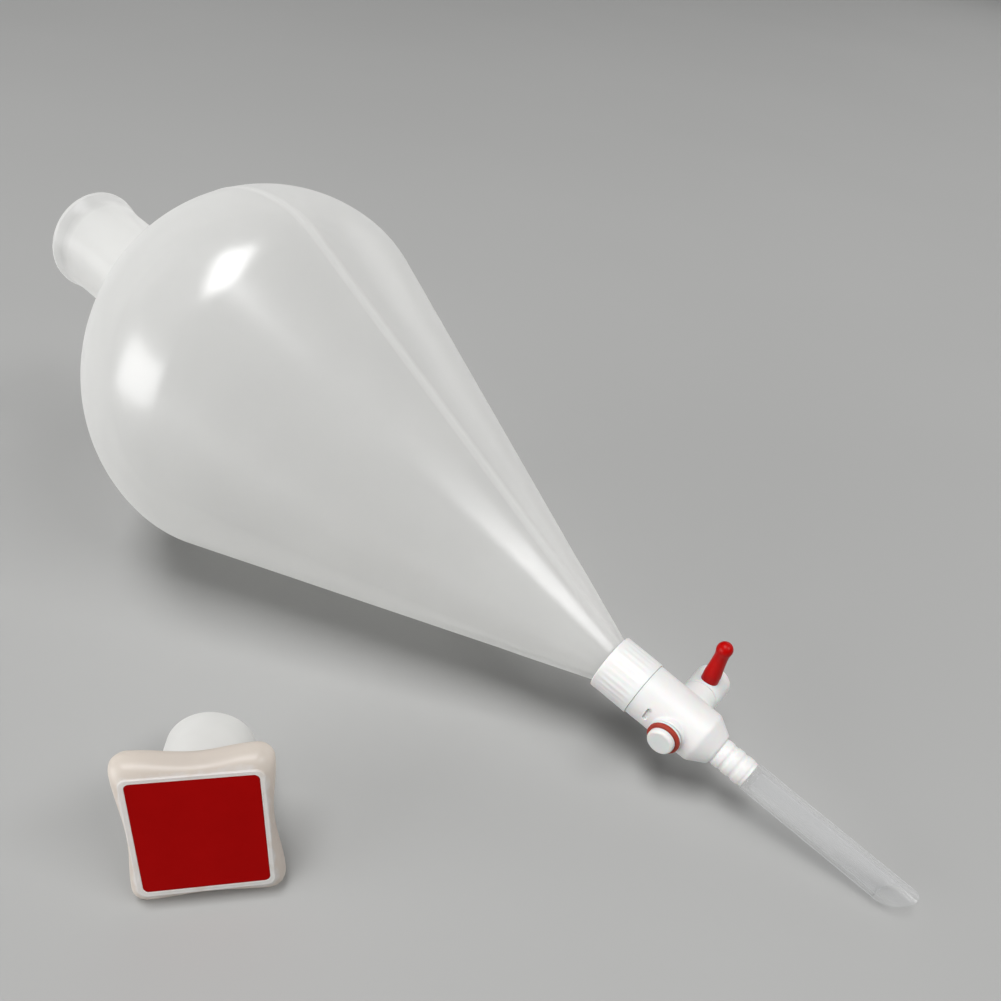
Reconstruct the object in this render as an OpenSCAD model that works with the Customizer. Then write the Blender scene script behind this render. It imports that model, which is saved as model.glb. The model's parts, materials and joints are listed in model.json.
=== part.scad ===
// Squibb (pear shaped) separatory funnel, 1000 ml, lying on the bench with its stopper beside it.
// Frame: +Z up, bench at z = 0, origin on the bench under the middle of the bulb.
// +X runs from the neck towards the stem. Y is the direction of the stopcock key.
// Inside most modules z is the distance down the funnel's own axis from the bulb's middle.

/* [Vessel] */
// largest outside diameter of the bulb
bulb_d = 130; // [110:1:150]
// wall of the moulded vessel
wall = 1.8; // [1.2:0.1:2.6]
// how far the neck's mouth stands above the bulb's middle
neck_top = 102; // [98:0.5:108]
// outside diameter of the neck
neck_d = 33.4; // [32.5:0.1:35]
// outside diameter of the flared lip
rim_d = 36; // [35.8:0.1:42]
// mouth of the tapered socket, size 29/32
socket_d = 29.2; // [28:0.1:29.6]

/* [Coupling] */
// outside diameter of the coupling collar
collar_d = 19.4; // [19:0.1:22]
// lead of the collar's thread
collar_pitch = 2.5; // [1.5:0.25:3]

/* [Stopcock] */
// distance of the key from the bulb's middle
key_station = 177.3; // [176:0.1:178.5]
// bore through the stopcock and the key
bore_d = 4; // [2:0.5:5]
// lean of the lever from square to the flow
lever_lean = 9; // [0:0.1:20]
// how far the middle of the lever's ball is from the key's axis
lever_reach = 19.8; // [16:0.2:19.8]
// turn of the stopcock about the funnel's axis
key_roll = 0; // [-8:0.5:8]

/* [Stem] */
// outside diameter of the clear stem
stem_d = 9.8; // [9.4:0.1:10.4]
// bore of the clear stem
stem_bore_d = 7; // [5:0.1:7.6]
// length of the stem beyond the stopcock, on its short side
stem_len = 51.4; // [40:0.2:70]

/* [Stopper] */
// width of the red plate
plate_w = 32.9; // [31:0.1:34]
// height of the red plate
plate_h = 35.6; // [34:0.1:37]
// width of the cap over its corners
cap_w = 40.8; // [40:0.1:46]
// height of the cap over its corners
cap_h = 46.4; // [44:0.1:48]
// thickness of the cap
cap_t = 9.8; // [9:0.2:14]
// length of the tapered plug, size 29/32
plug_len = 31; // [26:0.5:34]
// where the stopper lies on the bench
stopper_x = 96.8; // [80:0.2:130]
// sideways place of the stopper
stopper_y = -125.3; // [-160:0.2:-100]
// direction the stopper's plate faces, about the vertical
stopper_az = -42.4; // [-60:0.1:-20]

/* [Hidden] */
eps = 0.01;
run_fit = 0.05;
fn_big = 96;
fn_small = 64;

// bulb: shoulder ellipse, a belly arc, then a straight cone
bulb_r = bulb_d / 2;
belly_z = -7;
shoulder_len = 0.85 * bulb_r;
cone_slope = 20.87;
belly_r = 0.48 * bulb_r;
belly_c = bulb_r - belly_r;
belly_end_z = belly_z + belly_r * sin(cone_slope);
belly_end_r = belly_c + belly_r * cos(cone_slope);
neck_r = neck_d / 2;
rim_r = rim_d / 2;
neck_root = belly_z - shoulder_len * sqrt(1 - pow(neck_r / bulb_r, 2));
collar_top = 148.1;
cone_end_z = collar_top + 0.8;
function cone_r(z) = belly_end_r - (z - belly_end_z) * tan(cone_slope);

// coupling
thread_r = 7.78;
spigot_end = collar_top + 6.7;
gasket_t = 1.3;
flange_z = spigot_end + gasket_t + 2 * run_fit;
flange_t = 2.4;
collar_end = collar_top + 14.2;
collar_bore = thread_r + 0.07;
lip_r = 6.1;

// stopcock body
body_top = collar_end + 0.2;
body_r = 9.3;
body_low_r = 9.05;
body_low = 186.6;
tail_z = 192.5;
tail_r = 5.55;
spigot_z = 204.8;
spigot_r = 4.5;
rib_r = 4.8;
rib_pitch = 3.8;
stem_shank_r = 3.2;
hub_face = 12.85;
nut_face = -9.3;
hub_boss_r = 6.35;
nut_boss_r = 5.9;
key_small_r = 4.2;
key_taper = 0.05;
key_run = 0.04;
function plug_r(h) = key_small_r + (h - nut_face) * key_taper;

// index mark on the body
mark_turn = 252;
mark_z = 167.4;
mark_half = 1.5;
mark_r = 0.8;

// key furniture, heights along the key's own axis
hub_end = 23.4;
hub_r = 6.3;
lever_h = 16.6;
lever_root_r = 2.95;
lever_neck_r = 2.35;
lever_ball_r = 2.72;
lever_hole = 3.6;
stud_r = 2.6;
stud_end = -12.9;
washer_t = 0.7;
washer_face = nut_face - run_fit - washer_t;
ring_t = 1.4;
ring_r = 5.6;
ring_face = washer_face - run_fit - ring_t;
nut_t = 2.1;
nut_r = 4.5;
nut_end = ring_face - run_fit - nut_t;

// stem
stem_r = stem_d / 2;
stem_top = spigot_z + run_fit;
stem_short = spigot_z + stem_len;
stem_long = stem_short + stem_d;

// stopper
cap_front = 2;
cap_widest = 6.3;
cap_sag = 1.3;
cap_corner = 4;
plug_top_r = 14.6;
plug_end_s = cap_t + plug_len;
plug_end_r = plug_top_r - plug_len / 20;
plug_edge = 0.8;
plate_t = 2.2;
plate_corner = 1.6;
stopper_lean = atan((cap_h / 2 - plug_end_r) / (plug_end_s - plug_edge - cap_widest));
stopper_z = cap_h / 2 * cos(stopper_lean) + cap_widest * sin(stopper_lean);

// lying pose: the bulb's belly and the short side of the stem's tip both touch the bench
rest_dz = stem_short - belly_z;
rest_dr = belly_c - stem_r;
rest_tilt = atan(rest_dr / rest_dz) + asin(belly_r / sqrt(pow(rest_dz, 2) + pow(rest_dr, 2)));
axis_z = belly_r + belly_z * sin(rest_tilt) + belly_c * cos(rest_tilt);

module in_funnel() {
  translate([0, 0, axis_z]) rotate([0, 90 + rest_tilt, 0]) children();
}

module in_key() {
  in_funnel() rotate([0, 0, key_roll]) translate([0, 0, key_station]) rotate([-90, 0, 0]) children();
}

module in_stopper() {
  translate([stopper_x, stopper_y, stopper_z]) rotate([0, 0, stopper_az])
    rotate([0, 90 - stopper_lean, 0]) children();
}

module tube(r_out, r_in, z0, z1, fn) {
  difference() {
    translate([0, 0, z0]) cylinder(r = r_out, h = z1 - z0, $fn = fn);
    translate([0, 0, z0 - 1]) cylinder(r = r_in, h = z1 - z0 + 2, $fn = fn);
  }
}

// points down the shoulder from the neck to the belly, grown inwards by t
shoulder_steps = 13;
belly_steps = 4;
function shoulder_point(t, a) = [(bulb_r - t) * sin(a), belly_z - (shoulder_len - t) * cos(a)];
function belly_point(t, a) = [belly_c + (belly_r - t) * cos(a), belly_z + (belly_r - t) * sin(a)];
function shoulder_start(t, r0) = asin(min(1, r0 / (bulb_r - t)));
function shoulder(t, r0) = [
  for (i = [0 : shoulder_steps])
    let (a0 = shoulder_start(t, r0))
      shoulder_point(t, a0 + (90 - a0) * i / shoulder_steps)
];
function belly(t) = [for (i = [1 : belly_steps]) belly_point(t, cone_slope * i / belly_steps)];

module funnel_outline() {
  lip = [[0, 0], [rim_r - 0.9, 0], [rim_r - 0.25, 0.35], [rim_r, 1.1], [rim_r - 0.12, 2.1]];
  flare = [[rim_r - 0.5, 3.6], [neck_r + 0.5, 5.6], [neck_r + 0.12, 8], [neck_r, 10]];
  polygon(concat(
    [for (p = concat(lip, flare)) [p[0], p[1] - neck_top]],
    [[neck_r, neck_root - 1.2]],
    shoulder(0, neck_r + 1.1),
    belly(0),
    [[cone_r(cone_end_z), cone_end_z], [thread_r, cone_end_z + 0.01], [thread_r, spigot_end], [0, spigot_end]]
  ));
}

module funnel_inside() {
  socket_end = -neck_top + 32;
  socket_end_r = socket_d / 2 - 1.6;
  cone_in = wall / cos(cone_slope);
  cone_in_end = belly_end_z + (belly_end_r - cone_in - bore_d / 2 - 0.5) / tan(cone_slope);
  mouth_r = socket_d / 2 + 0.5;
  polygon(concat(
    [[0, -neck_top - 1], [mouth_r, -neck_top - 1], [mouth_r, -neck_top]],
    [[socket_d / 2, -neck_top + 0.9], [socket_end_r, socket_end]],
    shoulder(wall, socket_end_r + 0.4),
    belly(wall),
    [[bore_d / 2 + 0.5, cone_in_end], [bore_d / 2 + 0.5, spigot_end + 1], [0, spigot_end + 1]]
  ));
}

// blown vessel: flared neck, pear body and threaded outlet in one piece
module funnel_body() {
  color([0.9, 0.9, 0.88, 0.75]) in_funnel() difference() {
    rotate_extrude($fn = fn_big) funnel_outline();
    rotate_extrude($fn = fn_big) funnel_inside();
    for (i = [0 : 1]) translate([0, 0, cone_end_z + 1.6 + i * 2])
      tube(thread_r + 1, thread_r - 0.55, 0, 0.9, fn_small);
  }
}

module coupling_collar() {
  edge_r = collar_d / 2 - 0.5;
  seat_z = flange_z + flange_t + run_fit;
  outside = [[0, collar_top], [edge_r, collar_top], [collar_d / 2, collar_top + 0.5]];
  foot = [[collar_d / 2, collar_end - 0.7], [edge_r, collar_end], [0, collar_end]];
  mouth = [[0, collar_top - 1], [8.7, collar_top - 1], [8.5, collar_top + 1.2]];
  thread = [[collar_bore, collar_top + 1.9], [collar_bore, seat_z], [0, seat_z]];
  color([0.95, 0.95, 0.93]) in_funnel() difference() {
    rotate_extrude($fn = fn_small) polygon(concat(outside, foot));
    rotate_extrude($fn = fn_small) polygon(concat(mouth, thread));
    cylinder(r = lip_r, h = 200, $fn = fn_small);
  }
}

module coupling_gasket() {
  color([0.85, 0.85, 0.83]) in_funnel() tube(7.2, bore_d / 2 + 0.6, flange_z - gasket_t, flange_z, fn_small);
}

module stopcock_outline() {
  neck = lip_r - 0.07;
  flange_end = flange_z + flange_t;
  flange = [[0, flange_z], [thread_r, flange_z], [thread_r, flange_end], [neck, flange_end]];
  barrel = [[neck, body_top], [body_r - 0.3, body_top], [body_r, body_top + 0.3], [body_low_r, body_low]];
  tail = [[tail_r, tail_z], [spigot_r, tail_z + 0.2], [spigot_r, spigot_z - 0.3]];
  polygon(concat(flange, barrel, tail, [[spigot_r - 0.3, spigot_z], [0, spigot_z]]));
}

module rib() {
  foot_r = spigot_r - 0.1;
  rotate_extrude($fn = fn_small)
    polygon([[0, 0], [foot_r, 0], [rib_r, 0.5], [rib_r, 2.6], [foot_r, 3.1], [0, 3.1]]);
}

// shallow index mark across the body's flank
module index_mark() {
  rotate([0, 0, key_roll + mark_turn]) translate([body_r - 0.55, 0, mark_z]) rotate([0, 90, 0]) {
    for (side = [-1, 1]) translate([0, side * mark_half, 0]) cylinder(r = mark_r, h = 2, $fn = 32);
    translate([-mark_r, -mark_half, 0]) cube([2 * mark_r, 2 * mark_half, 2]);
  }
}

module stopcock_body() {
  seat_len = hub_face - nut_face + 2;
  color([0.94, 0.94, 0.92]) difference() {
    union() {
      in_funnel() rotate_extrude($fn = fn_small) stopcock_outline();
      in_funnel() for (i = [0 : 2]) translate([0, 0, tail_z + 0.5 + i * rib_pitch]) rib();
      in_key() cylinder(r = hub_boss_r, h = hub_face, $fn = fn_small);
      in_key() translate([0, 0, nut_face]) cylinder(r = nut_boss_r, h = -nut_face, $fn = fn_small);
    }
    in_funnel() cylinder(r = bore_d / 2, h = spigot_z + 5, $fn = fn_small);
    in_funnel() translate([0, 0, spigot_z - 9]) cylinder(r = stem_shank_r, h = 12, $fn = fn_small);
    in_key() translate([0, 0, nut_face - 1])
      cylinder(r1 = plug_r(nut_face - 1), r2 = plug_r(hub_face + 1), h = seat_len, $fn = fn_small);
    in_funnel() index_mark();
  }
}

// tapered PTFE key with its hub, cross bore and stud
module stopcock_key() {
  low = nut_face + 0.1;
  base = hub_face + run_fit;
  hub_t = hub_end - base;
  color([0.97, 0.97, 0.96]) in_key() rotate([0, 0, -lever_lean]) difference() {
    union() {
      translate([0, 0, low])
        cylinder(r1 = plug_r(low) - key_run, r2 = plug_r(base) - key_run, h = base - low, $fn = fn_small);
      translate([0, 0, base]) rotate_extrude($fn = fn_small)
        polygon([[0, 0], [hub_r, 0], [hub_r, hub_t - 0.8], [hub_r - 0.8, hub_t], [0, hub_t]]);
      translate([0, 0, stud_end]) cylinder(r = stud_r, h = 5 - stud_end, $fn = fn_small);
    }
    rotate([0, 90, 0]) translate([0, 0, -10]) cylinder(r = bore_d / 2, h = 20, $fn = fn_small);
    translate([-lever_hole, 0, lever_h]) rotate([0, -90, 0]) cylinder(r = lever_root_r, h = 5, $fn = 48);
  }
}

// lever with a ball end, its root pressed into the hub
module key_lever() {
  root_end = lever_hole + 4.4;
  waist = root_end + 1.7;
  color([0.72, 0.05, 0.06]) in_key() rotate([0, 0, -lever_lean]) translate([0, 0, lever_h])
    rotate([0, -90, 0]) union() {
      translate([0, 0, lever_hole]) cylinder(r = lever_root_r, h = root_end - lever_hole, $fn = 48);
      translate([0, 0, root_end - eps]) cylinder(r1 = lever_root_r, r2 = lever_neck_r, h = 1.8, $fn = 48);
      translate([0, 0, waist]) cylinder(r = lever_neck_r, h = lever_reach - waist, $fn = 48);
      translate([0, 0, lever_reach]) sphere(r = lever_ball_r, $fn = 48);
    }
}

module key_thrust_washer() {
  color([0.9, 0.9, 0.88]) in_key() tube(5.3, stud_r + 0.06, washer_face, washer_face + washer_t, fn_small);
}

module key_seal_ring() {
  bore = stud_r + 0.06;
  low = [[bore, 0], [ring_r - 0.3, 0], [ring_r, 0.3]];
  high = [[ring_r, ring_t - 0.3], [ring_r - 0.3, ring_t], [bore, ring_t]];
  color([0.65, 0.07, 0.05]) in_key() translate([0, 0, ring_face]) rotate_extrude($fn = fn_small)
    polygon(concat(low, high));
}

// blind lock nut
module key_lock_nut() {
  dome = [[0, 0], [nut_r - 0.7, 0], [nut_r - 0.2, 0.25], [nut_r, 0.8], [nut_r, nut_t], [0, nut_t]];
  color([0.96, 0.96, 0.95]) in_key() difference() {
    translate([0, 0, nut_end]) rotate_extrude($fn = fn_small) polygon(dome);
    translate([0, 0, stud_end - 0.15]) cylinder(r = stud_r + 0.06, h = 5, $fn = fn_small);
  }
}

// clear outlet tube: shank inside the stopcock, slanted tip
module stem_tube() {
  color([0.85, 0.88, 0.9, 0.45]) in_funnel() difference() {
    union() {
      translate([0, 0, spigot_z - 8.8]) cylinder(r = stem_shank_r - 0.04, h = 12, $fn = fn_small);
      translate([0, 0, stem_top]) cylinder(r = stem_r, h = stem_long - stem_top, $fn = fn_small);
    }
    translate([0, 0, stem_top + 2]) cylinder(r = stem_bore_d / 2, h = 100, $fn = fn_small);
    cylinder(r = bore_d / 2 + 0.2, h = 300, $fn = fn_small);
    translate([stem_r, 0, stem_short]) rotate([0, -45, 0]) translate([-1, -10, 0]) cube([30, 20, 20]);
  }
}

// rectangle with rounded corners whose sides pull in between them
function dent_r(half) = (pow(half, 2) + pow(cap_sag, 2)) / (2 * cap_sag);

module pillow(hx, hy) {
  inner = [2 * (hx - cap_corner), 2 * (hy - cap_corner)];
  difference() {
    offset(r = cap_corner, $fn = 48) square(inner, center = true);
    for (side = [-1, 1]) {
      translate([side * (hx + dent_r(hy) - cap_sag), 0]) circle(r = dent_r(hy), $fn = 240);
      translate([0, side * (hy + dent_r(hx) - cap_sag)]) circle(r = dent_r(hx), $fn = 240);
    }
  }
}

module plate_shape(grow) {
  size = [plate_h - 2 * plate_corner + 2 * grow, plate_w - 2 * plate_corner + 2 * grow];
  offset(r = plate_corner, $fn = 32) square(size, center = true);
}

// one layer of the cap between two depths behind its face, narrower all round by inset
module cap_layer(top, bottom, inset) {
  translate([0, 0, -bottom]) linear_extrude(bottom - top) pillow(cap_h / 2 - inset, cap_w / 2 - inset);
}

// hollow stopper: pillow shaped cap and tapered plug
module stopper_body() {
  inner_end = plug_end_r - wall;
  inner_top = plug_top_r - wall;
  cavity = [plate_h - 4.4, plate_w - 4.4, cap_t];
  plug = [[0, -plug_end_s], [plug_end_r - plug_edge, -plug_end_s], [plug_end_r, -plug_end_s + plug_edge]];
  bore_z = -plug_end_s + wall;
  bore = [[0, bore_z], [inner_end - 0.8, bore_z], [inner_end, bore_z + 0.8]];
  color([0.9, 0.89, 0.86, 0.85]) in_stopper() difference() {
    union() {
      cap_layer(-0.4, cap_front, 1.6);
      cap_layer(cap_front, cap_widest, 0);
      cap_layer(cap_widest, cap_t, 1.2);
      rotate_extrude($fn = fn_big)
        polygon(concat(plug, [[plug_top_r, -cap_t], [plug_top_r, -cap_t + 1], [0, -cap_t + 1]]));
    }
    translate([0, 0, -plate_t - run_fit]) linear_extrude(5) plate_shape(run_fit);
    translate([-cavity[0] / 2, -cavity[1] / 2, -cap_t + 2]) cube(cavity);
    rotate_extrude($fn = fn_big)
      polygon(concat(bore, [[inner_top, -cap_t - 0.5], [inner_top, -cap_t + 3], [0, -cap_t + 3]]));
  }
}

module stopper_plate() {
  color([0.55, 0.03, 0.04]) in_stopper() translate([0, 0, -plate_t])
    linear_extrude(plate_t + 0.1) plate_shape(0);
}

funnel_body();
coupling_collar();
coupling_gasket();
stopcock_body();
stopcock_key();
key_lever();
key_thrust_washer();
key_seal_ring();
key_lock_nut();
stem_tube();
stopper_body();
stopper_plate();
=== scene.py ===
"""Looks of a pear shaped separatory funnel that lies on a bench beside its stopper.

Most solids are rebuilt as finer meshes in the places of their CAD nodes: turned walls with rounded edges,
a moulded stopcock with blended bosses, and a lofted pillow shaped stopper cap. The gasket, the thrust
washer and the seal ring keep their CAD shape and only get materials.
Lengths inside a part are in millimetres, in the part's own frame, and become metres when it is placed.
"""

import json
import math

import bmesh
import bpy
from mathutils import Matrix, Vector, noise


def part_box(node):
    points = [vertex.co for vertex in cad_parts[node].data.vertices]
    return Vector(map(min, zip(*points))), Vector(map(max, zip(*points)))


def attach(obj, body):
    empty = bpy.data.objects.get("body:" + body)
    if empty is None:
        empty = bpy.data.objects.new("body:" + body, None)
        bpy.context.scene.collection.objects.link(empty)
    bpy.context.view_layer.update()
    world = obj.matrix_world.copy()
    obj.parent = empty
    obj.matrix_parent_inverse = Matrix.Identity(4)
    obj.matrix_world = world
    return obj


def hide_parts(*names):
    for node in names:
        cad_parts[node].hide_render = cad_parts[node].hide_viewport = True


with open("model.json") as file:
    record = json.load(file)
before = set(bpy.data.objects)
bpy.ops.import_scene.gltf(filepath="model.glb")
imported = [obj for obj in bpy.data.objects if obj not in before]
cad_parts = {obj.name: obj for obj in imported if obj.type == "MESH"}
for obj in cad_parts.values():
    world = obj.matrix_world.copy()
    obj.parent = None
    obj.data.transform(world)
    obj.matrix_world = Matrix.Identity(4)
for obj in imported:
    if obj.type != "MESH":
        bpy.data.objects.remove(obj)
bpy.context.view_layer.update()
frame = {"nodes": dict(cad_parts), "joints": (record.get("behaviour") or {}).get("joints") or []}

MM = 0.001
JOINTS = {joint["name"]: joint for joint in frame["joints"]}
NODES = frame["nodes"]

# ---------------------------------------------------------------- places


def placed(origin, x_axis, y_axis, z_axis):
    """The matrix that takes millimetres in a part's own frame to metres in the row frame."""
    turn = Matrix((x_axis, y_axis, z_axis)).transposed().to_4x4()
    return Matrix.Translation(origin) @ turn @ Matrix.Scale(MM, 4)


FLOW = Vector(JOINTS["stem_pull"]["axis"]).normalized()
SIDE = Vector(JOINTS["key_turn"]["axis"]).normalized()
DOWN = SIDE.cross(FLOW).normalized()
KEY_POINT = Vector(JOINTS["key_turn"]["pos_m"])
BULB_MIDDLE = KEY_POINT - FLOW * (KEY_POINT.x / FLOW.x)

# z runs down the funnel's axis from the bulb's middle, x is its underside, y is the key's direction
FUNNEL = placed(BULB_MIDDLE, DOWN, SIDE, FLOW)
# z runs along the key towards its hub, x towards the underside
KEY = placed(KEY_POINT, DOWN, -FLOW, SIDE)

# ---------------------------------------------------------------- mesh helpers


def rounded(corners, steps=5):
    """Outline points through (radius, height, fillet) corners, each corner turned by an arc."""
    points = []
    for i, (r, z, fillet) in enumerate(corners):
        here = Vector((r, z))
        if not fillet:
            points.append(here)
            continue
        before = (Vector(corners[i - 1][:2]) - here).normalized()
        after = (Vector(corners[(i + 1) % len(corners)][:2]) - here).normalized()
        half = before.angle(after) / 2
        centre = here + (before + after).normalized() * fillet / math.sin(half)
        start = here + before * fillet / math.tan(half)
        end = here + after * fillet / math.tan(half)
        for k in range(steps + 1):
            points.append(centre + (start.lerp(end, k / steps) - centre).normalized() * fillet)
    return points


def with_steps(outline, step):
    """A closed outline with its long straight stretches divided."""
    points = []
    for here, there in zip(outline, outline[1:] + outline[:1]):
        count = max(1, int((there - here).length / step))
        points += [here.lerp(there, k / count) for k in range(count)]
    return points


def bridge(mesh, low, high):
    """Faces between two rings of corners, either of which may be a single point."""
    count = max(len(low), len(high))
    for k in range(count):
        a, b = low[k % len(low)], low[(k + 1) % count % len(low)]
        c, d = high[(k + 1) % count % len(high)], high[k % len(high)]
        face = [v for i, v in enumerate((a, b, c, d)) if v not in (a, b, c, d)[:i]]
        if len(face) > 2:
            mesh.faces.new(face)


def make_object(name, mesh):
    """An object from a bmesh, with its faces turned outwards."""
    bmesh.ops.recalc_face_normals(mesh, faces=mesh.faces[:])
    data = bpy.data.meshes.new(name)
    mesh.to_mesh(data)
    mesh.free()
    piece = bpy.data.objects.new(name, data)
    bpy.context.scene.collection.objects.link(piece)
    return piece


def even_angles(count):
    """Evenly spaced angles round a full turn."""
    return [2 * math.pi * k / count for k in range(count)]


def turned(name, outline, angles, closed=False, shape=None):
    """A body of revolution about z. shape(r, z, angle, index) may return a changed radius."""
    mesh = bmesh.new()
    rings = []
    for index, (r, z) in enumerate(outline):
        if r < 1e-6:
            rings.append([mesh.verts.new((0, 0, z))])
            continue
        radii = [shape(r, z, a, index) if shape else r for a in angles]
        corners = [(q * math.cos(a), q * math.sin(a), z) for q, a in zip(radii, angles)]
        rings.append([mesh.verts.new(corner) for corner in corners])
    for low, high in zip(rings, rings[1:] + rings[:1] if closed else rings[1:]):
        bridge(mesh, low, high)
    return make_object(name, mesh)


def applied(piece):
    """Makes a piece's modifiers permanent."""
    graph = bpy.context.evaluated_depsgraph_get()
    data = bpy.data.meshes.new_from_object(piece.evaluated_get(graph))
    old = piece.data
    piece.modifiers.clear()
    piece.data = data
    data.name = piece.name
    bpy.data.meshes.remove(old)
    return piece


def combined(piece, operation, *tools):
    """piece joined with or cut by the tools, which are used up."""
    for tool in tools:
        step = piece.modifiers.new("cut", "BOOLEAN")
        step.operation = operation
        step.solver = "EXACT"
        step.object = tool
    applied(piece)
    for tool in tools:
        bpy.data.objects.remove(tool)
    return piece


def melted(piece, voxel, passes):
    """piece as one moulded skin: remeshed, then smoothed so that its inner corners become fillets."""
    remesh = piece.modifiers.new("skin", "REMESH")
    remesh.mode = "VOXEL"
    remesh.voxel_size = voxel
    smooth = piece.modifiers.new("blend", "SMOOTH")
    smooth.factor = 0.5
    smooth.iterations = passes
    return applied(piece)


def moved(piece, matrix):
    """piece, with its mesh carried by the matrix."""
    piece.data.transform(matrix)
    return piece


def finished(piece, place, material, body, node, crease=32):
    """Places a piece, shades it and ties it to its CAD body and node."""
    piece.data.transform(place)
    if place.determinant() < 0:
        piece.data.flip_normals()
    piece.data.shade_smooth()
    piece.data.set_sharp_from_angle(angle=math.radians(crease))
    piece.modifiers.new("even_shading", "WEIGHTED_NORMAL").keep_sharp = True
    piece.data.materials.clear()
    piece.data.materials.append(material)
    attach(piece, body)
    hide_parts(node)
    return piece


# ---------------------------------------------------------------- camera

camera_data = bpy.data.cameras.new("camera")
camera = bpy.data.objects.new("camera", camera_data)
bpy.context.scene.collection.objects.link(camera)
bpy.context.scene.camera = camera
camera_place = Vector((0.2240, -0.1961, 0.2282))
camera_right = Vector((0.7971, 0.5933, 0.1122)).normalized()
camera_up = Vector((-0.4908, 0.5285, 0.6927))
camera_back = camera_right.cross(camera_up).normalized()
camera_turn = Matrix((camera_right, camera_back.cross(camera_right), camera_back)).transposed()
camera.matrix_world = Matrix.Translation(camera_place) @ camera_turn.to_4x4()
camera_data.sensor_width = 36
camera_data.lens = 32.08
camera_data.shift_x = -0.0146
camera_data.shift_y = 0.1751
camera_data.clip_start = 0.01

# ---------------------------------------------------------------- materials


class Tree:
    """A material's node tree with short calls for adding nodes and links."""

    def __init__(self, name):
        self.material = bpy.data.materials.new(name)
        self.material.use_nodes = True
        self.nodes = self.material.node_tree.nodes
        self.links = self.material.node_tree.links
        self.nodes.clear()
        self.output = self.nodes.new("ShaderNodeOutputMaterial")
        self.place = self.nodes.new("ShaderNodeTexCoord").outputs["Object"]

    def node(self, kind, **inputs):
        made = self.nodes.new("ShaderNode" + kind)
        for key, value in inputs.items():
            self.put(made.inputs[key.replace("_", " ")], value)
        return made

    def put(self, socket, value):
        if isinstance(value, bpy.types.NodeSocket):
            self.links.new(value, socket)
        else:
            socket.default_value = value

    def noise(self, scale, detail=3.0, rough=0.5):
        made = self.node("TexNoise", Vector=self.place, Scale=scale, Detail=detail, Roughness=rough)
        return made.outputs[0]

    def span(self, value, low, high, start=0.35, end=0.65):
        """value, clamped between start and end, spread from low to high."""
        made = self.node("MapRange", Value=value)
        for index, number in zip((1, 2, 3, 4), (start, end, low, high)):
            made.inputs[index].default_value = number
        return made.outputs[0]

    def math(self, operation, a, b=0.0):
        made = self.nodes.new("ShaderNodeMath")
        made.operation = operation
        self.put(made.inputs[0], a)
        self.put(made.inputs[1], b)
        return made.outputs[0]

    def ramp(self, value, *stops):
        """A colour that runs through (position, colour) stops."""
        made = self.node("ValToRGB", Fac=value)
        elements = made.color_ramp.elements
        while len(elements) < len(stops):
            elements.new(0.5)
        for element, (position, colour) in zip(elements, stops):
            element.position = position
            element.color = (*colour, 1)
        return made.outputs[0]

    def bump(self, height, distance, strength=1.0):
        return self.node("Bump", Height=height, Distance=distance, Strength=strength).outputs[0]

    def mix(self, share, first, second):
        made = self.nodes.new("ShaderNodeMixShader")
        self.put(made.inputs[0], share)
        self.links.new(first, made.inputs[1])
        self.links.new(second, made.inputs[2])
        return made.outputs[0]

    def done(self, shader):
        self.links.new(shader, self.output.inputs["Surface"])
        return self.material


def satin_skin(tree, body, gloss, glancing, roughness, bump):
    """body under a clear skin that shines by gloss face on, and by glancing more edge on."""
    facing = tree.node("LayerWeight", Blend=0.5, Normal=bump).outputs["Facing"]
    edge_on = tree.math("MULTIPLY", tree.math("POWER", facing, 5.0), glancing)
    shine = tree.math("ADD", edge_on, gloss)
    skin = tree.node("BsdfGlossy", Roughness=roughness, Normal=bump).outputs[0]
    return tree.mix(shine, body, skin)


def milky_body(tree, colour, opened, soak):
    """White plastic that light soaks through, with a clear share that shows what is behind."""
    white = tree.node("BsdfDiffuse", Color=colour, Roughness=0.3).outputs[0]
    soaked = tree.node("BsdfTranslucent", Color=colour).outputs[0]
    clear = tree.node("BsdfTransparent").outputs[0]
    return tree.mix(opened, tree.mix(soak, white, soaked), clear)


def along(tree, origin, direction):
    """How far a point lies past origin in a direction, in metres."""
    dot = tree.nodes.new("ShaderNodeVectorMath")
    dot.operation = "DOT_PRODUCT"
    tree.put(dot.inputs[0], tree.place)
    dot.inputs[1].default_value = direction
    return tree.math("SUBTRACT", dot.outputs["Value"], origin.dot(direction))


WALL_CLEARNESS = 0.36
WALL_SOAK = 0.7
WALL_GLOSS = 0.065
NECK_GLOSS = 0.015
FLARE_CLEARNESS = 0.25
# how much of the clearness is left edge on, along the seam and at the neck
EDGE_LEFT, SEAM_LEFT, NECK_LEFT = 0.2, 0.4, 0.8

# where the wall's look changes: metres down the axis from the bulb's middle
LIP_FADE = (-0.1012, -0.1002)
FLARE_FADE = (-0.0975, -0.0945)
NECK_FADE = (-0.064, -0.056)
BLOWN_FADE = (-0.062, -0.05)
CONE_FADE = (0.06, 0.14)
# and metres sideways from the seam
SEAM_FADE = (0.0006, 0.0022)


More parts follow.
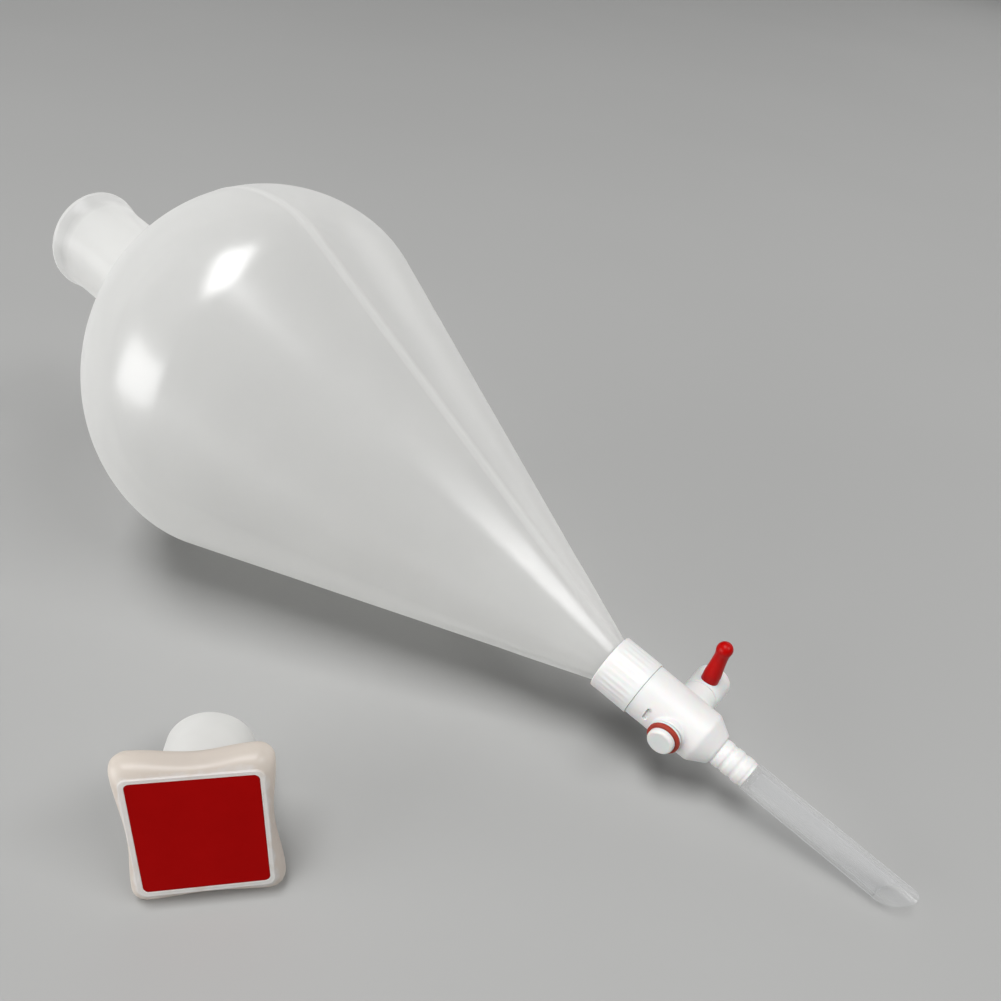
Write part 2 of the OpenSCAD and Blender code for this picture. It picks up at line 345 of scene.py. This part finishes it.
def milky_wall(name, thin, thick, dense_and_painted_sheen):
    """The blown wall: cloudy, milkier where it is seen edge on, at the thick neck and along the seam. Its
    colour is whiter edge on as a painted sheen, and whiter along the seam as a painted highlight.
    """
    tree = Tree(name)
    cloud = tree.noise(16, 2, 0.45)
    station = along(tree, BULB_MIDDLE, FLOW)
    neck = tree.span(station, 1.0, 0.0, *NECK_FADE)
    flare = tree.span(station, 1.0, 0.0, *FLARE_FADE)
    lip = tree.span(station, 1.0, 0.0, *LIP_FADE)
    from_seam = tree.math("ABSOLUTE", tree.node("SeparateXYZ", Vector=tree.place).outputs["Y"])
    blown = tree.span(station, 0.0, 1.0, *BLOWN_FADE)
    seam = tree.math("MULTIPLY", tree.span(from_seam, 1.0, 0.0, *SEAM_FADE), blown)
    facing = tree.node("LayerWeight", Blend=0.5).outputs["Facing"]
    edge_on = tree.span(facing, 0.0, 1.0, 0.45, 1.0)

    opened = tree.span(cloud, WALL_CLEARNESS + 0.02, WALL_CLEARNESS - 0.02)
    for share, left in ((edge_on, EDGE_LEFT), (seam, SEAM_LEFT), (neck, NECK_LEFT)):
        opened = tree.math("MULTIPLY", opened, tree.span(share, 1.0, left, 0.0, 1.0))
    flare_only = tree.math("SUBTRACT", flare, lip)
    opened = tree.math("ADD", opened, tree.math("MULTIPLY", flare_only, FLARE_CLEARNESS))

    # mask for a whiter colour: the thick neck's own milkier colour, a painted sheen where the wall is seen
    # edge on, and a painted highlight along the seam
    white = tree.math("MAXIMUM", tree.math("MAXIMUM", seam, neck), edge_on)
    tone_and_painted_sheen = tree.math("ADD", tree.math("MULTIPLY", cloud, 0.5), tree.math("MULTIPLY", white, 0.5))
    colour = tree.ramp(tone_and_painted_sheen, (0.2, thin), (0.3, thick), (0.75, dense_and_painted_sheen))
    bump = tree.bump(tree.noise(45, 2), 0.0003, 0.25)
    rough = tree.span(tree.noise(400, 3, 0.6), 0.21, 0.25)
    least_gloss = tree.span(neck, WALL_GLOSS, NECK_GLOSS, 0.0, 1.0)
    gloss = tree.math("MULTIPLY", least_gloss, tree.span(station, 1.0, 0.7, *CONE_FADE))
    body = milky_body(tree, colour, opened, WALL_SOAK)
    return tree.done(satin_skin(tree, body, gloss, 0.1, rough, bump))


PLUG_WHITE = (0.93, 0.93, 0.915)
RIM_WHITE = (0.95, 0.95, 0.94)
CAP_WARM = ((0.56, (0.86, 0.79, 0.72)), (0.78, (0.89, 0.83, 0.76)), (0.93, (0.87, 0.815, 0.75)))
# how far behind and before the cap's face, in metres, the colours run
CAP_FADE = (-0.024, 0.001)
CAP_SOAK = 0.5


def stopper_plastic(name, place):
    """Warm milky plastic whose thin rim and plug look whiter than the hollow cap."""
    tree = Tree(name)
    face = place.to_3x3().col[2].normalized()
    depth = along(tree, place.to_translation(), face)
    spread = tree.math("ADD", depth, tree.span(tree.noise(150, 3), -0.0006, 0.0006))
    share = tree.span(spread, 0.0, 1.0, *CAP_FADE)
    colour = tree.ramp(share, (0.0, PLUG_WHITE), (0.50, PLUG_WHITE), *CAP_WARM, (0.965, RIM_WHITE))
    bump = tree.bump(tree.noise(120, 3), 0.0003, 0.3)
    opened = tree.span(tree.noise(60, 2), 0.14, 0.10)
    rough = tree.span(tree.noise(400, 3, 0.6), 0.34, 0.42)
    body = milky_body(tree, colour, opened, CAP_SOAK)
    return tree.done(satin_skin(tree, body, 0.035, 0.2, rough, bump))


def solid_plastic(name, dark, light, roughness, grain=700, soak=0.0, specular=0.5):
    """Opaque moulded plastic with faint colour drift and a fine skin texture."""
    tree = Tree(name)
    drift = tree.noise(90, 3, 0.6)
    fine = tree.noise(grain, 5, 0.65)
    colour = tree.ramp(drift, (0.3, dark), (0.7, light))
    shader = tree.node(
        "BsdfPrincipled",
        Base_Color=colour,
        Roughness=tree.span(fine, *roughness),
        Normal=tree.bump(fine, 0.00004, 0.5),
        Subsurface_Weight=soak,
        Subsurface_Scale=0.003,
        Specular_IOR_Level=specular,
    )
    return tree.done(shader.outputs[0])


def clear_tube(name):
    """Clear drawn tube: mostly see-through, milkier edge on, glossy, with faint lengthwise drawing lines."""
    tree = Tree(name)
    lines = tree.node("Mapping", Vector=tree.place, Scale=(30, 400, 400)).outputs[0]
    streak = tree.node("TexNoise", Vector=lines, Scale=1.0, Detail=2.0).outputs[0]
    tint = tree.ramp(streak, (0.3, (0.985, 0.988, 0.99)), (0.7, (0.995, 0.996, 0.996)))
    clear = tree.node("BsdfTransparent", Color=tint).outputs[0]
    pale = tree.ramp(streak, (0.3, (0.94, 0.945, 0.95)), (0.7, (0.97, 0.97, 0.97)))
    soaked = tree.node("BsdfTranslucent", Color=pale).outputs[0]
    haze = tree.mix(0.25, tree.node("BsdfDiffuse", Color=pale).outputs[0], soaked)
    facing = tree.node("LayerWeight", Blend=0.5).outputs["Facing"]
    edge_on = tree.math("MULTIPLY", tree.math("POWER", facing, 6.0), 0.85)
    milkiness = tree.math("ADD", tree.span(streak, 0.09, 0.10), edge_on)
    body = tree.mix(milkiness, clear, haze)
    rough = tree.span(streak, 0.1, 0.14)
    return tree.done(satin_skin(tree, body, 0.05, 0.3, rough, tree.bump(streak, 0.00002, 0.03)))


MILKY = milky_wall("milky_polypropylene", (0.925, 0.925, 0.917), (0.95, 0.95, 0.94), (0.98, 0.98, 0.97))
WHITE = solid_plastic(
    "white_polypropylene", (0.75, 0.745, 0.735), (0.79, 0.785, 0.775), (0.38, 0.48), soak=0.3
)
PTFE = solid_plastic("ptfe", (0.79, 0.79, 0.78), (0.84, 0.84, 0.835), (0.4, 0.52), soak=0.4)
LEVER_RED = solid_plastic(
    "lever_red", (0.40, 0.0008, 0.0008), (0.47, 0.0015, 0.001), (0.32, 0.4), specular=0.15
)
SEAL_RED = solid_plastic("seal_red", (0.30, 0.022, 0.008), (0.38, 0.03, 0.01), (0.5, 0.62))
PLATE_RED = solid_plastic(
    "plate_red", (0.305, 0.0007, 0.0007), (0.33, 0.001, 0.001), (0.5, 0.6), grain=260, specular=0.04
)
CLEAR = clear_tube("clear_tube")

# ---------------------------------------------------------------- vessel

BULB_R = 65.0
WALL = 1.8
BELLY_Z = -7.0
BELLY_R = 0.48 * BULB_R
BELLY_C = BULB_R - BELLY_R
SHOULDER = 0.85 * BULB_R
CONE_SLOPE = math.radians(20.87)
NECK_TOP = -102.0
NECK_R = 16.7
RIM_R = 18.0
SOCKET_R = 14.6
SOCKET_DEPTH = 32.0
COLLAR_TOP = 148.1
CONE_END = COLLAR_TOP + 0.8
SPIGOT_END = COLLAR_TOP + 6.7
THREAD_R = 7.78
BORE_R = 2.0
SEAM_RISE = 0.14
SEAM_HALF = 0.9


def shoulder(inset, start_r, steps=40):
    """From the neck out to the widest ring: a quarter of an ellipse, inset by the wall."""
    wide, long = BULB_R - inset, SHOULDER - inset
    first = math.asin(start_r / wide)
    turns = [first + (math.pi / 2 - first) * i / steps for i in range(steps + 1)]
    return [(wide * math.sin(a), BELLY_Z - long * math.cos(a)) for a in turns]


def belly(inset, steps=10):
    """From the widest ring to the cone: a smaller arc, inset by the wall."""
    turns = [CONE_SLOPE * i / steps for i in range(1, steps + 1)]
    reach = BELLY_R - inset
    return [(BELLY_C + reach * math.cos(a), BELLY_Z + reach * math.sin(a)) for a in turns]


def cone(inset, end_r, end_z, steps=24):
    """The straight cone, from where the belly hands over to a given end."""
    r, z = belly(inset)[-1]
    return [(r + (end_r - r) * i / steps, z + (end_z - z) * i / steps) for i in range(1, steps)]


def neck_outside():
    """The flared lip and the straight neck, down to the fillet at the shoulder."""
    lip = [(-1.3, 0.0), (-0.45, 0.12), (-0.08, 0.55), (0.0, 1.1), (-0.1, 1.9), (-0.4, 3.1), (-0.75, 4.3)]
    neck = [(0.3, 5.6), (0.1, 7.5), (0.0, 10.0)] + [(0.0, z) for z in (15, 20, 25, 30, 35)]
    points = [(RIM_R + dr, z) for dr, z in lip] + [(NECK_R + dr, z) for dr, z in neck]
    return [(r, NECK_TOP + z) for r, z in points]


def vessel_outline():
    """The wall's closed outline, outside first, and how many of its points are on the outside."""
    end_r = BELLY_C + BELLY_R * math.cos(CONE_SLOPE)
    end_z = BELLY_Z + BELLY_R * math.sin(CONE_SLOPE)
    cone_end_r = end_r - (CONE_END - end_z) * math.tan(CONE_SLOPE)
    outer_root = shoulder(0, NECK_R + 1.6)
    fillet = [(NECK_R, outer_root[0][1] - 2.2), (NECK_R + 0.25, outer_root[0][1] - 0.9)]
    outside = neck_outside() + fillet + outer_root + belly(0) + cone(0, cone_end_r, CONE_END)
    outside += [(cone_end_r, CONE_END), (THREAD_R, CONE_END + 0.05), (THREAD_R, SPIGOT_END - 0.3)]
    inner_slant = WALL / math.cos(CONE_SLOPE)
    inner_z = end_z + (end_r - inner_slant - BORE_R - 0.5) / math.tan(CONE_SLOPE)
    socket_end = (SOCKET_R - SOCKET_DEPTH / 20, NECK_TOP + SOCKET_DEPTH)
    socket_middle = (SOCKET_R - SOCKET_DEPTH / 40, NECK_TOP + SOCKET_DEPTH / 2)
    inside = [(SOCKET_R + 0.6, NECK_TOP), (SOCKET_R, NECK_TOP + 0.9), socket_middle, socket_end]
    inside += shoulder(WALL, socket_end[0] + 0.6) + belly(WALL) + cone(WALL, BORE_R + 0.5, inner_z)
    inside += [(BORE_R + 0.5, inner_z), (BORE_R + 0.5, SPIGOT_END)]
    return outside + [(THREAD_R - 0.3, SPIGOT_END)] + inside[::-1], len(outside)


def seam_angles(count):
    """Even steps round the vessel, with extra ones close to the two parting lines."""
    extra = [sign * turn for sign in (-1, 1) for turn in (0.004, 0.009, 0.014, 0.022)]
    near = [side + turn for side in (0, math.pi) for turn in extra]
    step = 2 * math.pi / count

    def clear_of_seam(angle):
        past = angle % math.pi
        return min(past, math.pi - past) > step or past < 1e-9

    plain = [a for a in even_angles(count) if clear_of_seam(a)]
    return sorted({round(a % (2 * math.pi), 6) for a in near + plain})


def vessel_wall():
    """The blown vessel as one closed wall, with a parting line and slightly uneven thickness."""
    outline, outer_count = vessel_outline()

    def uneven(r, z, angle, index):
        from_seam = abs(math.sin(angle)) * r
        if index < outer_count:
            if r <= NECK_R + 2 or not -60 < z < CONE_END - 2:
                return r
            return r - SEAM_RISE * (1 - math.exp(-((from_seam / SEAM_HALF) ** 2)))
        if r > SOCKET_R + 1:
            spot = Vector((math.cos(angle) * r, math.sin(angle) * r, z)) / 38
            return r - 0.45 * (0.5 + 0.5 * noise.noise(spot))
        return r

    piece = turned("vessel_wall", outline, seam_angles(180), closed=True, shape=uneven)
    finished(piece, FUNNEL, MILKY, "vessel", "funnel_body", 40)


# ---------------------------------------------------------------- coupling and stopcock

GASKET_END = SPIGOT_END + 1.4
FLANGE_T = 2.4
COLLAR_R = 9.7
COLLAR_END = COLLAR_TOP + 14.2
LIP_R = 6.1
BODY_TOP = COLLAR_END + 0.01
BODY_R = 9.3
BODY_LOW_R = 9.05
BODY_LOW = 186.6
TAIL_Z = 192.5
TAIL_R = 5.55
SPIGOT_Z = 204.8
SPIGOT_R = 4.5
RIB_R = 4.8
RIB_PITCH = 3.8
SOCKET_HOLE_R = 3.2
SOCKET_HOLE_DEPTH = 9.0
HUB_FACE = 12.85
NUT_FACE = -9.3
HUB_BOSS_R = 6.35
NUT_BOSS_R = 5.9
GRIP_DEPTH = 0.12
GRIP_COUNT = 30

# the index mark is a shallow bar bent round the body's flank
MARK_Z = 168.7
MARK_TURN = math.radians(261)
MARK_SPREAD = math.radians(16)
MARK_HALF = 0.9
MARK_DEPTH = 1.2


def coupling_collar():
    """The internally threaded collar that draws the stopcock up to the vessel, fluted for grip."""
    inner_r = THREAD_R + 0.07
    corners = [
        (8.7, COLLAR_TOP, 0.15), (COLLAR_R, COLLAR_TOP, 0.5),
        (COLLAR_R, COLLAR_END, 0.04), (LIP_R, COLLAR_END, 0.1),
        (LIP_R, COLLAR_END - 3.6, 0), (inner_r, COLLAR_END - 3.6, 0), (inner_r, COLLAR_TOP + 2, 0),
    ]

    def grip(r, z, angle, index):
        if r < COLLAR_R - 0.01 or not COLLAR_TOP + 2.0 < z < COLLAR_END - 2.0:
            return r
        return r - GRIP_DEPTH * (0.5 + 0.5 * math.cos(GRIP_COUNT * angle))

    outline = with_steps(rounded(corners), 1.0)
    piece = turned("collar_shell", outline, even_angles(240), closed=True, shape=grip)
    finished(piece, FUNNEL, WHITE, "collar", "coupling_collar")


def index_mark():
    """The cutter for the index mark: a bar with rounded ends."""
    mesh = bmesh.new()
    rings = []
    deep = BODY_R - MARK_DEPTH
    for k in range(25):
        u = k / 12 - 1
        angle = MARK_TURN + MARK_SPREAD * u
        half = MARK_HALF * max(0.15, 1 - max(0, (abs(u) - 0.7) / 0.3) ** 2) ** 0.5
        profile = ((deep, -half * 0.9), (BODY_R + 1, -half), (BODY_R + 1, half), (deep, half * 0.9))
        corners = [(r * math.cos(angle), r * math.sin(angle), MARK_Z + h) for r, h in profile]
        rings.append([mesh.verts.new(corner) for corner in corners])
    for low, high in zip(rings, rings[1:]):
        bridge(mesh, low, high)
    mesh.faces.new(rings[0])
    mesh.faces.new(rings[-1])
    return make_object("mark", mesh)


def boss(radius, end, fillet):
    """A round boss from the key's point to end, along its own z."""
    corners = [(0, 0, 0), (radius, 0, 0), (radius, end, fillet), (0, end, 0)]
    return turned("boss", rounded(corners), even_angles(64))


def drill(radius, start, end):
    """A cutter for a round hole about z."""
    return turned("drill", [(0, start), (radius, start), (radius, end), (0, end)], even_angles(48))


def outlet_rib(base):
    """One of the rounded ribs round the outlet, with its foot at base."""
    foot = SPIGOT_R - 0.1
    crest = [(RIB_R, base + 0.5, 0.3), (RIB_R, base + 2.6, 0.3)]
    outline = rounded([(0, base, 0), (foot, base, 0)] + crest + [(foot, base + 3.1, 0)], 3)
    return turned("rib", outline + [Vector((0, base + 3.1))], even_angles(64))


def stopcock_shell():
    """Body, key bosses and ribbed outlet moulded in one, then bored."""
    flange_end = GASKET_END + FLANGE_T
    corners = [
        (0, GASKET_END, 0), (THREAD_R - 0.1, GASKET_END, 0.3), (THREAD_R - 0.1, flange_end, 0.3),
        (LIP_R - 0.2, flange_end, 0), (LIP_R - 0.2, BODY_TOP, 0), (BODY_R, BODY_TOP, 0.04),
        (BODY_LOW_R, BODY_LOW, 2.5), (TAIL_R, TAIL_Z, 0.8), (SPIGOT_R, TAIL_Z + 0.25, 0),
        (SPIGOT_R, SPIGOT_Z, 0.3), (0, SPIGOT_Z, 0),
    ]
    body = turned("stopcock_shell", rounded(corners), even_angles(96))
    key_frame = FUNNEL.inverted() @ KEY
    hub_boss = moved(boss(HUB_BOSS_R, HUB_FACE, 0.5), key_frame)
    nut_boss = moved(boss(NUT_BOSS_R, -NUT_FACE, 0.4), key_frame @ Matrix.Rotation(math.pi, 4, "X"))
    ribs = [outlet_rib(TAIL_Z + 0.5 + index * RIB_PITCH) for index in range(3)]
    combined(body, "UNION", hub_boss, nut_boss, *ribs)
    melted(body, 0.22, 5)
    flow_bore = drill(BORE_R, 100, 220)
    shank_bore = drill(SOCKET_HOLE_R, SPIGOT_Z - SOCKET_HOLE_DEPTH, 220)
    seat = moved(turned("seat", [(0, -15), (3.92, -15), (5.57, 18), (0, 18)], even_angles(64)), key_frame)
    combined(body, "DIFFERENCE", flow_bore, shank_bore, seat, index_mark())
    finished(body, FUNNEL, WHITE, "stopcock", "stopcock_body", 50)


LEVER_LEAN = Matrix.Rotation(math.radians(-9), 4, "Z")
LEVER_H = 16.6
LEVER_HOLE = 3.6
LEVER_REACH = 19.8
HUB_R = 6.3
HUB_END = 23.4
STUD_R = 2.6
STUD_END = -12.9
LEVER_R = 2.95
BALL_R = 2.72
NUT_R = 4.5

# the lever lies across the hub: its own z runs out of the hub's side
LEVER_ROOT = Matrix.Translation((0, 0, LEVER_H)) @ Matrix.Rotation(-math.pi / 2, 4, "Y")


def key_plug():
    """The PTFE key: hub, tapered plug, stud, and the flow bore through it."""
    plug_start = NUT_FACE + 0.1
    plug_end = HUB_FACE + 0.05
    corners = [
        (0, STUD_END, 0), (STUD_R, STUD_END, 0.3), (STUD_R, plug_start, 0), (4.16, plug_start, 0.1),
        (5.27, plug_end, 0), (HUB_R, plug_end, 0.35), (HUB_R, HUB_END, 1.1), (0, HUB_END, 0),
    ]
    key = turned("key_plug", rounded(corners), even_angles(96))
    bore = moved(drill(BORE_R, -12, 12), Matrix.Rotation(math.pi / 2, 4, "Y"))
    socket = moved(drill(LEVER_R + 0.03, LEVER_HOLE, 12), LEVER_ROOT)
    combined(key, "DIFFERENCE", bore, socket)
    finished(key, KEY @ LEVER_LEAN, PTFE, "key", "stopcock_key")


def key_lever():
    """The lever: a round root, a slight waist and a ball end."""
    waist = [
        (LEVER_R, LEVER_HOLE), (LEVER_R, 8.2), (2.9, 9.2), (2.75, 10.6), (2.6, 12.2),
        (2.48, 13.8), (2.38, 15.4), (2.33, 16.7), (2.36, 17.7), (2.5, 18.5),
    ]
    turns = [math.radians(degrees) for degrees in range(-15, 90, 8)]
    ball = [(BALL_R * math.cos(a), LEVER_REACH + BALL_R * math.sin(a)) for a in turns]
    outline = [(0, LEVER_HOLE)] + waist + ball + [(0, LEVER_REACH + BALL_R)]
    lever = turned("lever_ball", outline, even_angles(64))
    finished(lever, KEY @ LEVER_LEAN @ LEVER_ROOT, LEVER_RED, "key", "key_lever")


def lock_nut():
    """The blind lock nut on the key's stud, with a domed end."""
    end = STUD_END - 0.75
    top = end + 2.1
    hole_r = STUD_R + 0.06
    hole_end = STUD_END - 0.15
    corners = [
        (0, end, 0), (NUT_R, end, 0.85), (NUT_R, top, 0.2),
        (hole_r, top, 0), (hole_r, hole_end, 0), (0, hole_end, 0),
    ]
    nut = turned("lock_nut_cap", rounded(corners, 7), even_angles(72))
    finished(nut, KEY, WHITE, "lock_nut", "key_lock_nut")


STEM_R = 4.9
STEM_BORE_R = 3.5
SHANK_R = 3.16
SHANK_BORE_R = 2.2
SHANK_LEN = 8.85
STEM_SHORT = SPIGOT_Z + 51.4
STEM_LONG = STEM_SHORT + 2 * STEM_R


def stem():
    """The clear outlet tube, its shank in the stopcock and its tip cut at a slant."""
    top = SPIGOT_Z + 0.05
    shank_end = top - SHANK_LEN
    corners = [
        (SHANK_BORE_R, shank_end, 0.15), (SHANK_R, shank_end, 0.3), (SHANK_R, top, 0), (STEM_R, top, 0.3),
        (STEM_R, STEM_LONG, 0), (STEM_BORE_R, STEM_LONG, 0),
        (STEM_BORE_R, top + 2, 0.5), (SHANK_BORE_R, top + 2, 0.3),
    ]
    tube = turned("stem_clear", with_steps(rounded(corners), 4), even_angles(96), closed=True)
    block = bmesh.new()
    bmesh.ops.create_cube(block, size=40)
    slant = make_object("slant", block)
    cut = Matrix.Translation((STEM_R, 0, STEM_SHORT)) @ Matrix.Rotation(math.radians(-45), 4, "Y")
    moved(slant, cut @ Matrix.Translation((19, 0, 20)))
    combined(tube, "DIFFERENCE", slant)
    finished(tube, FUNNEL, CLEAR, "stem", "stem_tube", 30)


# ---------------------------------------------------------------- stopper

STOPPER_AZIMUTH = math.radians(-42.4)
CAP_HIGH = 23.2
CAP_WIDE = 20.4
CAP_T = 9.8
CAP_WIDEST = 6.3
CAP_SAG = 1.7
PLUG_TOP_R = 14.6
PLUG_LEN = 31.0
PLUG_END_R = PLUG_TOP_R - PLUG_LEN / 20
PLUG_END = CAP_T + PLUG_LEN
PLUG_EDGE = 0.8
PLATE_HIGH = 17.8
PLATE_WIDE = 16.45
PLATE_T = 2.2


def stopper_place():
    """z is the way the stopper's plate faces, and its origin is the middle of the cap's face."""
    low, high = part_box("stopper_plate")
    flat = Vector((math.cos(STOPPER_AZIMUTH), math.sin(STOPPER_AZIMUTH), 0))
    side = Vector((-flat.y, flat.x, 0))
    lean = math.atan((CAP_HIGH - PLUG_END_R) / (PLUG_END - PLUG_EDGE - CAP_WIDEST))
    face = flat * math.cos(lean) + Vector((0, 0, math.sin(lean)))
    middle = (low + high) / 2 + face * (PLATE_T - 0.1) / 2 * MM
    return placed(middle, side.cross(face), side, face)


def pillow_ring(high, wide, sag, corner, side_steps=14, corner_steps=9):
    """Corners of a rectangle with rounded corners whose sides pull in by sag at their middle."""
    ring = []
    for quarter in range(4):
        turn = Matrix.Rotation(quarter * math.pi / 2, 2)
        reach, half = (high, wide) if quarter % 2 == 0 else (wide, high)
        for k in range(side_steps):
            u = -1 + 2 * k / side_steps
            ring.append(turn @ Vector((reach - sag * math.cos(u * math.pi / 2) ** 2, (half - corner) * u)))
        for k in range(corner_steps):
            a = math.pi / 2 * k / corner_steps
            x = reach - corner + corner * math.cos(a)
            y = half - corner + corner * math.sin(a)
            ring.append(turn @ Vector((x, y)))
    return ring


def lofted(name, levels):
    """A solid through pillow rings, given as (height, half height, half width, sag, corner)."""
    mesh = bmesh.new()
    rings = [[mesh.verts.new((x, y, level[0])) for x, y in pillow_ring(*level[1:])] for level in levels]
    for low, high in zip(rings, rings[1:]):
        bridge(mesh, low, high)
    mesh.faces.new(rings[0])
    mesh.faces.new(rings[-1])
    return make_object(name, mesh)


def around_plate(z, grow, corner):
    """A level of the plate's own outline, grown all round."""
    return (z, PLATE_HIGH + grow, PLATE_WIDE + grow, 0, corner)


def cap_levels():
    """The cap's skin: a raised rim round the plate, then a bulge to the widest ring, then the back."""
    # height, growth past the plate, corner radius
    rim = [(0.2, 0.55, 2.0), (0.36, 0.85, 2.1), (0.34, 1.15, 2.2), (0.1, 1.35, 2.3), (-0.25, 1.4, 2.3)]
    # height, share of the way from the plate's size to the cap's, share of the sides' sag
    bulge = [
        (-0.55, 0.46, 0.25), (-0.9, 0.58, 0.4), (-1.4, 0.70, 0.55), (-2.1, 0.81, 0.7),
        (-3.0, 0.90, 0.85), (-4.1, 0.96, 0.95), (-5.2, 0.99, 1.0), (-CAP_WIDEST, 0.995, 1.0),
        (-7.4, 0.93, 1.0), (-8.3, 0.86, 1.0), (-9.1, 0.76, 0.95), (-9.6, 0.62, 0.9), (-CAP_T, 0.42, 0.8),
    ]
    levels = [around_plate(z, grow, corner) for z, grow, corner in rim]
    for z, share, dent in bulge:
        high = PLATE_HIGH + (CAP_HIGH - PLATE_HIGH) * share
        wide = PLATE_WIDE + (CAP_WIDE - PLATE_WIDE) * share
        levels.append((z, high, wide, CAP_SAG * dent, 2.2 + 2.0 * share))
    return levels


def stopper():
    """The hollow pillow shaped cap with its tapered plug, and the plate set in the cap's face."""
    place = stopper_place()
    cap = lofted("stopper_cap", cap_levels())
    # the plug's end is a hair small, so that its edge rests on the bench and not in it
    corners = [
        (0, -PLUG_END, 0), (PLUG_END_R - 0.08, -PLUG_END, PLUG_EDGE), (PLUG_TOP_R, -CAP_T - 1.5, 0),
        (PLUG_TOP_R + 1.2, -CAP_T + 0.3, 0), (PLUG_TOP_R, -CAP_T + 1.5, 0), (0, -CAP_T + 1.5, 0),
    ]
    plug = turned("plug", rounded(corners), even_angles(120))
    combined(cap, "UNION", plug)
    hollow = lofted("hollow", [around_plate(1, -2.2, 1.5), around_plate(-CAP_T + 2, -2.2, 1.5)])
    recess = lofted("recess", [around_plate(1, 0.03, 1.6), around_plate(-PLATE_T, 0.03, 1.6)])
    inner = [
        (0, -PLUG_END + WALL, 0), (PLUG_END_R - WALL, -PLUG_END + WALL, 0.8),
        (PLUG_TOP_R - WALL, -CAP_T, 0), (PLUG_TOP_R - WALL, -CAP_T + 4, 0), (0, -CAP_T + 4, 0),
    ]
    bore = turned("plug_bore", rounded(inner), even_angles(120))
    combined(cap, "DIFFERENCE", hollow, recess, bore)
    cap_plastic = stopper_plastic("stopper_polypropylene", place)
    finished(cap, place, cap_plastic, "stopper", "stopper_body", 35)
    plate_levels = [
        around_plate(-PLATE_T + 0.03, 0, 1.6), around_plate(-0.2, 0, 1.6), around_plate(-0.04, -0.06, 1.55),
        around_plate(0.06, -0.25, 1.4), around_plate(0.08, -0.6, 1.2),
    ]
    plate = lofted("stopper_face", plate_levels)
    finished(plate, place, PLATE_RED, "stopper", "stopper_plate", 35)


# ---------------------------------------------------------------- build

vessel_wall()
coupling_collar()
stopcock_shell()
key_plug()
key_lever()
lock_nut()
stem()
stopper()

for kept, material in (("coupling_gasket", PTFE), ("key_thrust_washer", PTFE), ("key_seal_ring", SEAL_RED)):
    NODES[kept].data.materials.clear()
    NODES[kept].data.materials.append(material)

# ---------------------------------------------------------------- floor and light

FLOOR_HALF = 3.0
LAMP_TARGET = Vector((0.02, -0.02, 0.06))


def floor():
    """The pale grey bench."""
    mesh = bmesh.new()
    bmesh.ops.create_grid(mesh, x_segments=2, y_segments=2, size=FLOOR_HALF)
    bench = make_object("bench_top", mesh)
    if bench.data.polygons[0].normal.z < 0:
        bench.data.flip_normals()
    tree = Tree("bench_grey")
    colour = tree.ramp(tree.noise(3, 3), (0.3, (0.372, 0.372, 0.366)), (0.7, (0.384, 0.384, 0.378)))
    shader = tree.node("BsdfPrincipled", Base_Color=colour, Roughness=0.75, Specular_IOR_Level=0.25)
    bench.data.materials.append(tree.done(shader.outputs[0]))


def soft_box(name, aim, distance, across, width, height, power):
    """A rectangular lamp that faces the object from the direction aim, its width laid along across."""
    data = bpy.data.lights.new(name, "AREA")
    data.shape = "RECTANGLE"
    data.size = width
    data.size_y = height
    data.energy = power
    lamp = bpy.data.objects.new(name, data)
    bpy.context.scene.collection.objects.link(lamp)
    away = Vector(aim).normalized()
    upwards = away.cross(Vector(across)).normalized()
    turn = Matrix((upwards.cross(away), upwards, away)).transposed()
    lamp.matrix_world = Matrix.Translation(LAMP_TARGET + away * distance) @ turn.to_4x4()
    lamp.visible_camera = False


def studio():
    """A dim fill from all round, and a plain pale backdrop where the camera sees past the bench."""
    world = bpy.data.worlds.new("studio")
    bpy.context.scene.world = world
    world.use_nodes = True
    nodes, links = world.node_tree.nodes, world.node_tree.links
    fill = nodes["Background"]
    fill.inputs["Color"].default_value = (0.95, 0.96, 1.0, 1)
    fill.inputs["Strength"].default_value = 0.045
    backdrop = nodes.new("ShaderNodeBackground")
    backdrop.inputs["Color"].default_value = (0.33, 0.33, 0.325, 1)
    seen = nodes.new("ShaderNodeMixShader")
    links.new(nodes.new("ShaderNodeLightPath").outputs["Is Camera Ray"], seen.inputs[0])
    links.new(fill.outputs[0], seen.inputs[1])
    links.new(backdrop.outputs[0], seen.inputs[2])
    links.new(seen.outputs[0], nodes["World Output"].inputs["Surface"])


floor()
# name, direction it shines from, distance, direction of its width, width and height in metres, watts
soft_box("overhead_box", (-0.05, -0.18, 0.98), 3.6, (0.60, -0.80, 0), 2.05, 1.4, 100.0)
soft_box("left_box", (-0.42, -0.89, 0.155), 1.5, (0.90, -0.42, 0), 1.25, 0.75, 17.5)
soft_box("right_box", (0.67, 0.10, 0.735), 2.6, (0, 1, 0), 1.45, 0.62, 26.0)
soft_box("back_box", (0.15, 0.93, 0.34), 2.2, (1, 0, 0), 1.9, 0.9, 6.0)
studio()
bpy.context.scene.view_settings.view_transform = "Standard"
